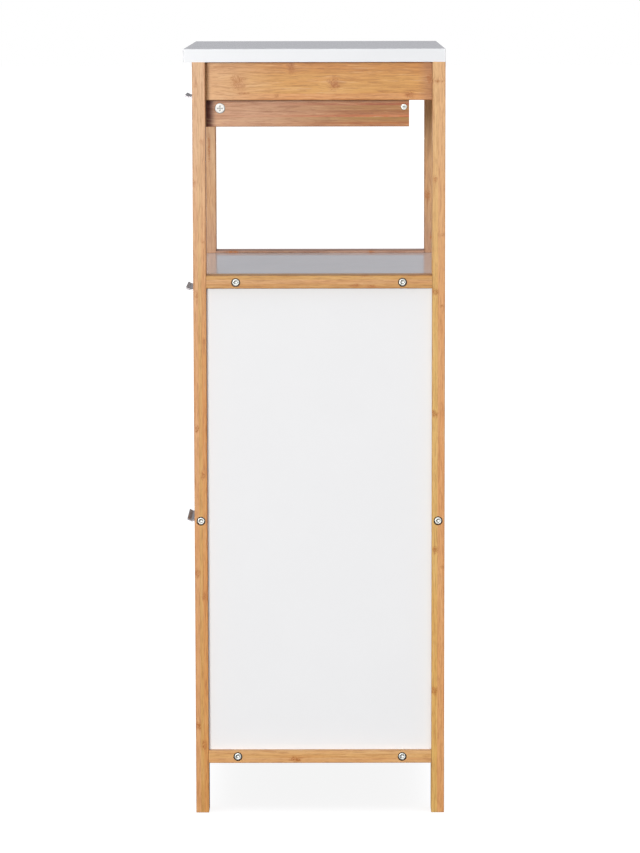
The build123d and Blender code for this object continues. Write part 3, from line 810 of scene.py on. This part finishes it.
def canvas():
    """Undyed cotton canvas: a plain weave with slubs, creases and a little unevenness in its tone."""
    shader = Shader("cotton_canvas", {"Roughness": 0.88, "Sheen Weight": 0.35, "Sheen Roughness": 0.5})
    shader.set({"Specular IOR Level": 0.25})
    place = shader.coordinates()
    x, y, z = shader.split(place)
    threads_per_mm = 0.95
    turn = 2 * math.pi * threads_per_mm
    waves = {}
    for name, value in (("x", x), ("y", y), ("z", z)):
        scaled = shader.times(value, turn)
        waves[name] = (shader.math("SINE", scaled), shader.math("COSINE", scaled))
    pairs = (("x", "y"), ("y", "z"), ("z", "x"))
    crossings = [shader.times(waves[a][0], waves[b][1]) for a, b in pairs]
    woven = shader.math("ADD", shader.math("ADD", crossings[0], crossings[1]), crossings[2])
    weave = shader.spread(woven, -1.5, 1.5)
    lengthwise = shader.join(shader.times(x, 0.1), y, shader.times(z, 1.6))
    slub = shader.noise(lengthwise, 1.0, 3.0)
    blotch = shader.noise(place, 0.018, 4.0, 0.6)
    crease = shader.noise(place, 0.06, 3.0, 0.65, 0.6)
    tone = shader.mix(shader.spread(blotch, 0.35, 0.65), seen(221, 212, 194), seen(232, 225, 210))
    slubs = shader.times(shader.spread(slub, 0.58, 0.74), 0.5)
    tone = shader.mix(slubs, tone, seen(205, 191, 164))
    shaded = shader.times(shader.spread(weave, 0.45, 0.0), 0.35)
    tone = shader.mix(shaded, tone, seen(168, 154, 130))
    shader.set({"Base Color": tone})
    relief = shader.math("MULTIPLY_ADD", weave, 0.25)
    shader.feed(relief.node.inputs[2], crease)
    shader.bump(relief, 0.9 * mm, 0.7)
    return shader.material


def thread():
    """Waxed sewing thread, twisted."""
    shader = Shader("sewing_thread", {"Sheen Weight": 0.3})
    twist = shader.noise(shader.coordinates(), 6.0, 2.0)
    shader.set({"Base Color": shader.mix(twist, seen(196, 178, 146), seen(240, 232, 214))})
    shader.set({"Roughness": shader.spread(twist, 0.3, 0.7, 0.55, 0.75)})
    shader.bump(twist, 0.1 * mm)
    return shader.material


bag_material = canvas()
thread_material = thread()


def over_rod(rod, outward):
    """Points of a tunnel hem, from its folded edge inside the bag, over the rod, to its stitching outside."""
    y, z = rod
    wall = y + outward * hem_radius
    fold = wall - outward * cloth * 1.05
    points = [(fold, z - hem_drop - flap), (fold, z - hem_drop)]
    points.append((y - outward * (hem_radius - 2.6), z - 8.0))
    for step in range(13):
        angle = math.radians(-12 + 192 * step / 12)
        points.append((y - outward * hem_radius * math.cos(angle), z + hem_radius * math.sin(angle)))
    points.append((wall - outward * 0.25, z - 8.0))
    return points


class Hang:
    """Where one hamper's rods are, in millimetres, and the bag's path round them in side view."""

    def __init__(self, hamper):
        low, high = (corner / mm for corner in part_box(hamper + "_rods"))
        floor_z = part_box(hamper + "_bag")[0].z / mm
        self.front = (low.y + rod_radius, high.z - rod_radius)
        self.rear = (high.y - rod_radius, low.z + rod_radius)
        self.floor = floor_z + floor_lift

    def wall(self, rod, outward):
        """Points down a wall from its stitching to the corner's middle."""
        y, z = rod
        wall = y + outward * hem_radius
        centre = (wall - outward * corner_radius, self.floor + corner_radius)
        top = z - hem_drop
        points = []
        for step in range(wall_rows - 2):
            points.append((wall, top + (centre[1] - top) * step / (wall_rows - 2)))
        for angle in (0, 22, 45):
            turned = math.radians(angle)
            across = centre[0] + outward * corner_radius * math.cos(turned)
            points.append((across, centre[1] - corner_radius * math.sin(turned)))
        return points

    def bottom(self):
        """Points along the floor from the front corner's middle to the rear one's, without the ends."""
        front, rear = self.front[0] - hem_radius + corner_radius, self.rear[0] + hem_radius - corner_radius
        turned = math.radians(68)
        dip = corner_radius * (1 - math.sin(turned))
        points = [(front - corner_radius * math.cos(turned), self.floor + dip)]
        for step in range(floor_rows - 3):
            points.append((front + (rear - front) * step / (floor_rows - 4), self.floor))
        points.append((rear + corner_radius * math.cos(turned), self.floor + dip))
        return points

    def path(self):
        """The whole strip: front hem, front wall, floor, rear wall and rear hem."""
        front_wall, rear_wall = self.wall(self.front, -1), self.wall(self.rear, 1)
        front_hem, rear_hem = over_rod(self.front, -1), over_rod(self.rear, 1)
        self.hem_rows = len(front_hem)
        return front_hem + front_wall + self.bottom() + rear_wall[::-1] + rear_hem[::-1]


def soft_noise(*place):
    return mathutils.noise.noise(Vector(place))


def tunnel_point(rod, y, z, x):
    """A point of a tunnel hem, which ripples a little where its cloth is gathered on the rod."""
    rod_y, rod_z = rod
    ripple = 0.3 + 0.3 * math.sin(x / 5.6 + 2.4 * soft_noise(x / 35, rod_z, 1.0))
    loose = min(max(z - rod_z + 9, 0) / 6, 1) * (1 - (x / seam_x) ** 6)
    away = Vector((0, y - rod_y, z - rod_z)).normalized()
    return Vector((x, y, z)) + away * ripple * loose


def wall_slack(x, below, off_floor, seed):
    """How far a wall hangs in from its flat place: gathers under its hem, folds that fan out from the hem's
    ends, long folds down the cloth, and small crumples."""
    across = 1 - (x / seam_x) ** 2
    gathers = math.sin(x / 6.4 + 2.6 * soft_noise(x / 60, below / 110, seed)) * math.exp(-below / 60)
    gathers *= 1.5 + 1.5 * soft_noise(x / 30, 2.0, seed)
    beside = seam_x - abs(x)
    reach = math.hypot(beside, below)
    fan = 1.8 * math.sin(7.5 * math.atan2(below, beside + 1)) * math.exp(-reach / 85) * min(beside / 18, 1)
    ridges = 0.42 - abs(soft_noise(x / 40 + 0.2 * math.copysign(below / 60, x), below / 190, seed + 4.0))
    slack = 3.0 + 11.0 * ridges + 2.2 * soft_noise(x / 21, below / 27, 7.0)
    hung = min(below / 45, 1) * min(off_floor / 32, 1)
    return across * (hung * slack + gathers * min(below / 10, 1) + 0.5) + fan * min(below / 14, 1)


def strip_point(hang, y, z, x):
    """A point of the front, floor or rear cloth."""
    at_front = y < (hang.front[0] + hang.rear[0]) / 2
    rod = hang.front if at_front else hang.rear
    below = rod[1] - hem_drop - z
    off_floor = z - hang.floor
    if below <= 0:
        return tunnel_point(rod, y, z, x)
    inward = max(wall_slack(x, below, off_floor, rod[1]), -0.4)
    if off_floor < corner_radius:
        flatness = 1 - off_floor / corner_radius
        raised = 3.0 * (x / seam_x) ** 2 + 3.4 * soft_noise(x / 50, y / 44, 3.0)
        puckers = 1.8 * soft_noise(x / 18, y / 24, 9.0) - 2.4 * abs(soft_noise(x / 75 + y / 60, y / 90, 2.0))
        z += flatness * max(raised + puckers + 1.0, -2.8)
    return Vector((x, y + (inward if at_front else -inward), z))


def side_point(hang, place, u, v, side):
    """A point of a side's cloth: it hangs in between its seams, and its open edge sags."""
    bow = math.sin(math.pi * u)
    long_folds = 9.0 * (0.34 - abs(soft_noise(u * 4.2 + side * 3, v * 1.3 + u, hang.front[1])))
    crumples = 1.8 * soft_noise(u * 11, v * 6, side * 5.0)
    inward = bow * (3.0 + 11.0 * v**1.5) * min(v / 0.12, 1)
    inward += bow * (long_folds * (1 - 0.5 * v**4) + crumples + 1.6) * min(v / 0.2, 1)
    sag = lip_sag * 4 * u * (1 - u) * v**3
    return Vector((side * (seam_x - max(inward, 0.0)), place.y, place.z - sag))


def bag_mesh(hang):
    """Vertices and faces of the whole bag, and each side's corner seam and open edge as rows of vertices."""
    path = hang.path()
    grid, vertices, faces = [], [], []
    for y, z in path:
        row = []
        for number in range(columns + 1):
            x = seam_x * (2 * number / columns - 1)
            row.append(len(vertices))
            vertices.append(strip_point(hang, y, z, x))
        grid.append(row)
    for row, after in zip(grid, grid[1:]):
        for a, b, c, d in zip(row, row[1:], after[1:], after):
            faces.append((a, b, c, d))
    first = hang.hem_rows
    last = len(path) - 1 - hang.hem_rows
    seams = []
    for side, column in ((-1, 0), (1, columns)):
        edge = [grid[number][column] for number in range(first, last + 1)]
        front = edge[: wall_rows + 1][::-1]
        rear = edge[len(edge) - wall_rows - 1:]
        under = edge[wall_rows: len(edge) - wall_rows]
        width = len(under) - 1
        net = [[None] * (width + 1) for _ in range(wall_rows + 1)]
        for row in range(wall_rows + 1):
            net[row][0], net[row][width] = front[row], rear[row]
        net[0] = list(under)
        corners = [vertices[index] for index in (front[0], rear[0], front[-1], rear[-1])]
        for row in range(1, wall_rows + 1):
            v = row / wall_rows
            for step in range(1, width):
                u = step / width
                top = corners[2].lerp(corners[3], u)
                across = vertices[front[row]].lerp(vertices[rear[row]], u)
                upward = vertices[under[step]].lerp(top, v)
                bilinear = corners[0].lerp(corners[1], u).lerp(top, v)
                net[row][step] = len(vertices)
                vertices.append(side_point(hang, across + upward - bilinear, u, v, side))
        for low_row, high_row in zip(net, net[1:]):
            for a, b, c, d in zip(low_row, low_row[1:], high_row[1:], high_row):
                faces.append((a, b, c, d) if side > 0 else (d, c, b, a))
        seams.append((edge, net[wall_rows]))
    return vertices, faces, seams


def tube(line, radii, sides=8):
    """Rings of a closed tube, flattened to two radii, along a line of points."""
    rings = []
    for number, point in enumerate(line):
        ahead = line[min(number + 1, len(line) - 1)] - line[max(number - 1, 0)]
        across = ahead.cross(Vector((1, 0, 0))).normalized()
        if across.length < 0.5:
            across = ahead.cross(Vector((0, 0, 1))).normalized()
        level = across.cross(ahead).normalized()
        ring = []
        for side in range(sides):
            angle = 2 * math.pi * side / sides
            ring.append(point + level * radii[0] * math.cos(angle) + across * radii[1] * math.sin(angle))
        rings.append(ring)
    return rings


def stitched(line, outward):
    """Rings of short raised stitches spaced evenly along a line of points."""
    arch = ((-1, -0.25), (-0.8, 0.12), (0, 0.3), (0.8, 0.12), (1, -0.25))
    stitches = []
    travelled, due = 0.0, stitch_pitch / 2
    for start, end in zip(line, line[1:]):
        span = (end - start).length
        while span > 0 and travelled + span >= due:
            place = start.lerp(end, (due - travelled) / span)
            along = (end - start).normalized() * stitch_pitch * stitch_share / 2
            lift = [place + along * share + outward * height for share, height in arch]
            stitches.append(tube(lift, (0.33, 0.33), 6))
            due += stitch_pitch
        travelled += span
    return stitches


def build_bag(hamper):
    """One hamper's bag with its bound edges and its stitching, in place of the plain solid."""
    hang = Hang(hamper)
    vertices, faces, seams = bag_mesh(hang)
    placed = [vertex * mm for vertex in vertices]
    bag = new_mesh(hamper + "_canvas_bag", placed, faces, bag_material, smooth=True)
    thick = bag.modifiers.new("cloth_thickness", "SOLIDIFY")
    thick.thickness = cloth * mm
    thick.offset = 0.0
    fine = bag.modifiers.new("smooth_cloth", "SUBSURF")
    fine.levels = fine.render_levels = 1
    sewn, sewn_faces = [], []
    bound, bound_faces = [], []
    for rows in seams:
        edge, lip = ([vertices[index] for index in row] for row in rows)
        for rings in (tube(edge, (1.0, 1.3)), tube(lip, (1.3, 3.6))):
            add_rings(bound, bound_faces, rings)
        side = math.copysign(1, lip[0].x)
        for way in (side, -side):
            lowered = [point + Vector((way * 1.25, 0, -2.0)) for point in lip]
            for rings in stitched(lowered[1:-1], Vector((way, 0, 0))):
                add_rings(sewn, sewn_faces, rings)
    for rod, outward in ((hang.front, -1), (hang.rear, 1)):
        wall = rod[0] + outward * hem_radius
        for drop in (hem_drop - 1.0, hem_drop + 1.6):
            for face_y, normal in ((wall + outward * 0.55, outward), (wall - outward * 1.65, -outward)):
                line = [Vector((x, face_y, rod[1] - drop)) for x in range(-144, 145, 4)]
                for rings in stitched(line, Vector((0, normal, 0))):
                    add_rings(sewn, sewn_faces, rings)
    binding = new_mesh(hamper + "_bag_binding", bound, bound_faces, bag_material, smooth=True)
    stitching = new_mesh(hamper + "_bag_stitching", sewn, sewn_faces, thread_material, smooth=True)
    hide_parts(hamper + "_bag")
    for piece in (bag, binding, stitching):
        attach(piece, hamper)


for hamper in hampers:
    build_bag(hamper)

# Studio: a room that is light overhead and behind the object, and dark on the camera's side

world = bpy.data.worlds.new("studio")
bpy.context.scene.world = world
world.use_nodes = True
room_light = 0.06
overhead_light = 0.70
backdrop_light = 0.39


def room_brightness():
    """Brightness of the room in each direction: more overhead and more behind the object."""
    nodes, links = world.node_tree.nodes, world.node_tree.links
    split = nodes.new("ShaderNodeSeparateXYZ")
    links.new(nodes.new("ShaderNodeTexCoord").outputs["Generated"], split.inputs[0])
    total = room_light
    for output, facing, strength in (("Z", 1.0, overhead_light), ("X", -1.0, backdrop_light)):
        share = nodes.new("ShaderNodeMath")
        share.operation, share.use_clamp = "MULTIPLY", True
        links.new(split.outputs[output], share.inputs[0])
        share.inputs[1].default_value = facing
        added = nodes.new("ShaderNodeMath")
        added.operation = "MULTIPLY_ADD"
        links.new(share.outputs[0], added.inputs[0])
        added.inputs[1].default_value = strength
        feed(links, added.inputs[2], total)
        total = added.outputs[0]
    links.new(total, nodes["Background"].inputs["Strength"])


room_brightness()
world.node_tree.nodes["Background"].inputs["Color"].default_value = (0.945, 0.945, 1.0, 1.0)

floor_reach = 30.0
white = (1.0, 1.0, 1.0, 1.0)
corners = ((-1, -1), (1, -1), (1, 1), (-1, 1))
floor = new_mesh("floor", [(x * floor_reach, y * floor_reach, 0) for x, y in corners], [(0, 1, 2, 3)])
pale_floor = Shader("pale_floor", {"Roughness": 0.9, "Specular IOR Level": 0.0})
pale_floor.set({"Base Color": (0.22, 0.22, 0.22, 1.0), "Emission Color": white, "Emission Strength": 0.88})
floor.data.materials.append(pale_floor.material)
floor.visible_diffuse = False
floor.visible_glossy = False

backdrop_mesh = bpy.data.meshes.new("backdrop")
dome = bmesh.new()
bmesh.ops.create_uvsphere(dome, u_segments=64, v_segments=32, radius=floor_reach * 1.3)
dome.to_mesh(backdrop_mesh)
dome.free()
backdrop = new_object("backdrop", backdrop_mesh)
glow = bpy.data.materials.new("white_backdrop")
glow.use_nodes = True
glow.node_tree.nodes.remove(glow.node_tree.nodes["Principled BSDF"])
emission = glow.node_tree.nodes.new("ShaderNodeEmission")
emission.inputs["Color"].default_value = white
emission.inputs["Strength"].default_value = 1.0
glow.node_tree.links.new(emission.outputs[0], glow.node_tree.nodes["Material Output"].inputs["Surface"])
backdrop_mesh.materials.append(glow)
for rays in ("diffuse", "glossy", "shadow", "transmission", "volume_scatter"):
    setattr(backdrop, "visible_" + rays, False)


def receivers(name, objects, state):
    """The objects that a light reaches alone, or those that it leaves out."""
    group = bpy.data.collections.new(name)
    for each in objects:
        group.objects.link(each)
    for member in group.collection_objects:
        member.light_linking.link_state = state
    return group


# The softboxes leave out the floor, which a light of its own keeps pale
boards = [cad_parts[node] for node in lacquered_boards]
spared = receivers("spared_by_softboxes", [floor], "EXCLUDE")
floor_alone = receivers("lit_by_floor_light", [floor], "INCLUDE")
all_but_boards = receivers("all_but_lacquer", [floor] + boards, "EXCLUDE")
boards_alone = receivers("lacquer_alone", boards, "INCLUDE")


def softbox(name, distance, left, above, size, lit_share, reached=spared):
    """A soft light that faces the object. At zero it stands by the object's right side, and the two angles,
    in degrees, turn it to the left and raise it. lit_share is what a facing white surface gets."""
    light = bpy.data.lights.new(name, "AREA")
    light.shape = "RECTANGLE"
    light.size, light.size_y = size
    light.energy = lit_share * (math.pi * distance) ** 2
    made = new_object(name, light)
    turned, raised = math.radians(left), math.radians(above)
    middle = Vector((0.2, 0.0, 0.5))
    level = math.cos(raised)
    away = Vector((math.cos(turned) * level, -math.sin(turned) * level, math.sin(raised)))
    made.location = middle + away * distance
    made.rotation_euler = away.to_track_quat("Z", "Y").to_euler()
    made.light_linking.receiver_collection = reached
    return made


softbox("key", 9.0, 15.0, 7.0, (2.6, 1.6), 0.70)
softbox("fill", 6.0, -22.0, 8.0, (2.0, 1.6), 0.12)
softbox("bounce", 2.0, 5.0, -12.0, (1.6, 0.1), 0.09)
# These brighten the other sides, and leave no mirror image in the lacquer
others = [softbox("left", 4.0, 180.0, -4.0, (1.6, 1.0), 0.45)]
for side, turn, strength, on_boards in (("front", 102.0, 0.42, 0.60), ("rear", -102.0, 0.30, 0.56)):
    softbox(side, 4.0, turn, 3.0, (1.6, 1.2), strength, all_but_boards).visible_camera = False
    others.append(softbox(side + "_boards", 4.0, turn, -3.0, (1.6, 1.2), on_boards, boards_alone))
for light in others:
    light.visible_camera = light.visible_glossy = False

sky = bpy.data.lights.new("floor_light", "SUN")
sky.energy = 1.9
sky.angle = math.radians(70)
floor_light = new_object("floor_light", sky)
floor_light.light_linking.receiver_collection = floor_alone

# Camera, at the photograph's angle

photo_width, photo_height = 640, 853
focal_pixels = 3728.3
sensor = 36.0
pitch, yaw, roll = (math.radians(angle) for angle in (7.163, -0.228, 0.113))
viewpoint = (4.4762, 0.0252, 0.9929)
lens = bpy.data.cameras.new("camera")
lens.sensor_width = sensor
lens.lens = focal_pixels * sensor / max(photo_width, photo_height)
lens.clip_end = 400.0
camera = new_object("camera", lens)
aim = (
    Matrix.Rotation(math.radians(90), 3, "Z")
    @ Matrix.Rotation(math.radians(90), 3, "X")
    @ Matrix.Rotation(-yaw, 3, "Y")
    @ Matrix.Rotation(-pitch, 3, "X")
    @ Matrix.Rotation(-roll, 3, "Z")
)
camera.matrix_world = Matrix.Translation(viewpoint) @ aim.to_4x4()
bpy.context.scene.camera = camera
bpy.context.scene.view_settings.view_transform = "Standard"
